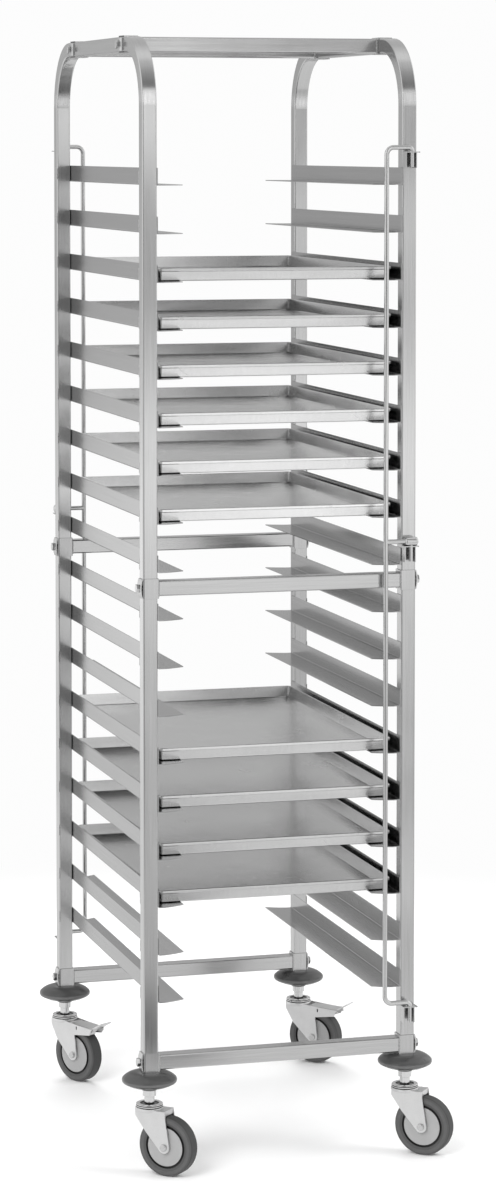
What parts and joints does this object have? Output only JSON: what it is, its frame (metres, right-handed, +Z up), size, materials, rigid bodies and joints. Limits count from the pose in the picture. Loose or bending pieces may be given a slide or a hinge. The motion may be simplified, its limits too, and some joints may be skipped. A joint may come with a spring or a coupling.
{
  "type": "tray trolley",
  "caption": "Tall open rack trolley of square tube with folded tray runners, loose trays, swinging lock bars and swivel castors.",
  "frame": {"origin": "on the floor, under the middle of the rack", "axes": "X across the rack to the right, Y from the front to the back, Z up"},
  "size_m": [0.5836, 0.7414, 1.897],
  "materials": {
    "stainless_tube": "satin stainless tube",
    "stainless_sheet": "satin folded stainless sheet",
    "stainless_rod": "polished stainless rod",
    "bright_fasteners": "bright machined steel",
    "bearing_balls": "polished",
    "tray_aluminium": "bright rolled sheet",
    "zinc_steel": "bright zinc plate",
    "bumper_plastic": "satin moulded grey",
    "hub_plastic": "satin moulded light grey",
    "tyre_rubber": "matt grey rubber"
  },
  "bodies": {
    "frame": {"left_hoop": "stainless_tube", "right_hoop": "stainless_tube", "top_front_crossbar": "stainless_tube", "top_rear_crossbar": "stainless_tube", "middle_front_crossbar": "stainless_tube", "middle_rear_crossbar": "stainless_tube", "lower_front_crossbar": "stainless_tube", "lower_rear_crossbar": "stainless_tube", "crossbar_saddles": "stainless_sheet", "frame_bolts": "bright_fasteners", "bolt_plates": "stainless_sheet", "weld_nuts": "bright_fasteners", "left_runners": "stainless_sheet", "right_runners": "stainless_sheet", "lock_bar_brackets": "stainless_sheet", "swivel_balls": "bearing_balls", "front_left_bumper": "bumper_plastic", "front_left_stem": "zinc_steel", "front_left_head": "zinc_steel", "front_right_bumper": "bumper_plastic", "front_right_stem": "zinc_steel", "front_right_head": "zinc_steel", "rear_left_bumper": "bumper_plastic", "rear_left_stem": "zinc_steel", "rear_left_head": "zinc_steel", "rear_right_bumper": "bumper_plastic", "rear_right_stem": "zinc_steel", "rear_right_head": "zinc_steel"},
    "front_left_castor": {"front_left_fork": "zinc_steel", "front_left_axle": "bright_fasteners"},
    "front_left_wheel": {"front_left_hub": "hub_plastic", "front_left_tyre": "tyre_rubber"},
    "front_right_castor": {"front_right_fork": "zinc_steel", "front_right_axle": "bright_fasteners"},
    "front_right_wheel": {"front_right_hub": "hub_plastic", "front_right_tyre": "tyre_rubber"},
    "rear_left_castor": {"rear_left_fork": "zinc_steel", "rear_left_axle": "bright_fasteners"},
    "rear_left_wheel": {"rear_left_hub": "hub_plastic", "rear_left_tyre": "tyre_rubber"},
    "rear_left_brake": {"rear_left_brake_pedal": "zinc_steel"},
    "rear_right_castor": {"rear_right_fork": "zinc_steel", "rear_right_axle": "bright_fasteners"},
    "rear_right_wheel": {"rear_right_hub": "hub_plastic", "rear_right_tyre": "tyre_rubber"},
    "rear_right_brake": {"rear_right_brake_pedal": "zinc_steel"},
    "front_lock": {"front_lock_bar": "stainless_rod", "front_lock_knob": "stainless_rod"},
    "rear_lock": {"rear_lock_bar": "stainless_rod", "rear_lock_knob": "stainless_rod"},
    "tray_03": {"tray_level_03": "tray_aluminium"},
    "tray_04": {"tray_level_04": "tray_aluminium"},
    "tray_05": {"tray_level_05": "tray_aluminium"},
    "tray_06": {"tray_level_06": "tray_aluminium"},
    "tray_07": {"tray_level_07": "tray_aluminium"},
    "tray_08": {"tray_level_08": "tray_aluminium"},
    "tray_13": {"tray_level_13": "tray_aluminium"},
    "tray_14": {"tray_level_14": "tray_aluminium"},
    "tray_15": {"tray_level_15": "tray_aluminium"},
    "tray_16": {"tray_level_16": "tray_aluminium"}
  },
  "joints": [
    {"name": "front_left_swivel", "type": "hinge", "parent": "frame", "child": "front_left_castor", "pos_m": [-0.2245, -0.3145, 0.12], "axis": [0, 0, 1], "continuous": true},
    {"name": "front_left_roll", "type": "hinge", "parent": "front_left_castor", "child": "front_left_wheel", "pos_m": [-0.19839, -0.33928, 0.05], "axis": [0.6884, 0.7254, 0], "continuous": true},
    {"name": "front_right_swivel", "type": "hinge", "parent": "frame", "child": "front_right_castor", "pos_m": [0.2245, -0.3145, 0.12], "axis": [0, 0, 1], "continuous": true},
    {"name": "front_right_roll", "type": "hinge", "parent": "front_right_castor", "child": "front_right_wheel", "pos_m": [0.25183, -0.33793, 0.05], "axis": [0.6508, 0.7593, 0], "continuous": true},
    {"name": "rear_left_swivel", "type": "hinge", "parent": "frame", "child": "rear_left_castor", "pos_m": [-0.2245, 0.3145, 0.12], "axis": [0, 0, 1], "continuous": true},
    {"name": "rear_left_roll", "type": "hinge", "parent": "rear_left_castor", "child": "rear_left_wheel", "pos_m": [-0.20574, 0.28377, 0.05], "axis": [0.8536, 0.521, 0], "continuous": true},
    {"name": "rear_left_pedal", "type": "hinge", "parent": "rear_left_castor", "child": "rear_left_brake", "pos_m": [-0.18803, 0.25475, 0.1], "axis": [0.8536, 0.521, 0], "range_deg": [0, 12]},
    {"name": "rear_right_swivel", "type": "hinge", "parent": "frame", "child": "rear_right_castor", "pos_m": [0.2245, 0.3145, 0.12], "axis": [0, 0, 1], "continuous": true},
    {"name": "rear_right_roll", "type": "hinge", "parent": "rear_right_castor", "child": "rear_right_wheel", "pos_m": [0.25134, 0.2905, 0.05], "axis": [0.6665, 0.7455, 0], "continuous": true},
    {"name": "rear_right_pedal", "type": "hinge", "parent": "rear_right_castor", "child": "rear_right_brake", "pos_m": [0.27668, 0.26784, 0.1], "axis": [0.6665, 0.7455, 0], "range_deg": [0, 12]},
    {"name": "front_lock_swing", "type": "hinge", "parent": "frame", "child": "front_lock", "pos_m": [0.2245, -0.34, 1.041], "axis": [0, 0, 1], "range_deg": [0, 180]},
    {"name": "rear_lock_swing", "type": "hinge", "parent": "frame", "child": "rear_lock", "pos_m": [-0.2245, 0.34, 1.041], "axis": [0, 0, 1], "range_deg": [0, 180]},
    {"name": "tray_03_slide", "type": "slide", "parent": "frame", "child": "tray_03", "axis": [0, 1, 0], "range_m": [-0.035, 0.035]},
    {"name": "tray_04_slide", "type": "slide", "parent": "frame", "child": "tray_04", "axis": [0, 1, 0], "range_m": [-0.035, 0.035]},
    {"name": "tray_05_slide", "type": "slide", "parent": "frame", "child": "tray_05", "axis": [0, 1, 0], "range_m": [-0.035, 0.035]},
    {"name": "tray_06_slide", "type": "slide", "parent": "frame", "child": "tray_06", "axis": [0, 1, 0], "range_m": [-0.035, 0.035]},
    {"name": "tray_07_slide", "type": "slide", "parent": "frame", "child": "tray_07", "axis": [0, 1, 0], "range_m": [-0.035, 0.035]},
    {"name": "tray_08_slide", "type": "slide", "parent": "frame", "child": "tray_08", "axis": [0, 1, 0], "range_m": [-0.035, 0.035]},
    {"name": "tray_13_slide", "type": "slide", "parent": "frame", "child": "tray_13", "axis": [0, 1, 0], "range_m": [-0.035, 0.035]},
    {"name": "tray_14_slide", "type": "slide", "parent": "frame", "child": "tray_14", "axis": [0, 1, 0], "range_m": [-0.035, 0.035]},
    {"name": "tray_15_slide", "type": "slide", "parent": "frame", "child": "tray_15", "axis": [0, 1, 0], "range_m": [-0.035, 0.035]},
    {"name": "tray_16_slide", "type": "slide", "parent": "frame", "child": "tray_16", "axis": [0, 1, 0], "range_m": [-0.035, 0.035]}
  ]
}
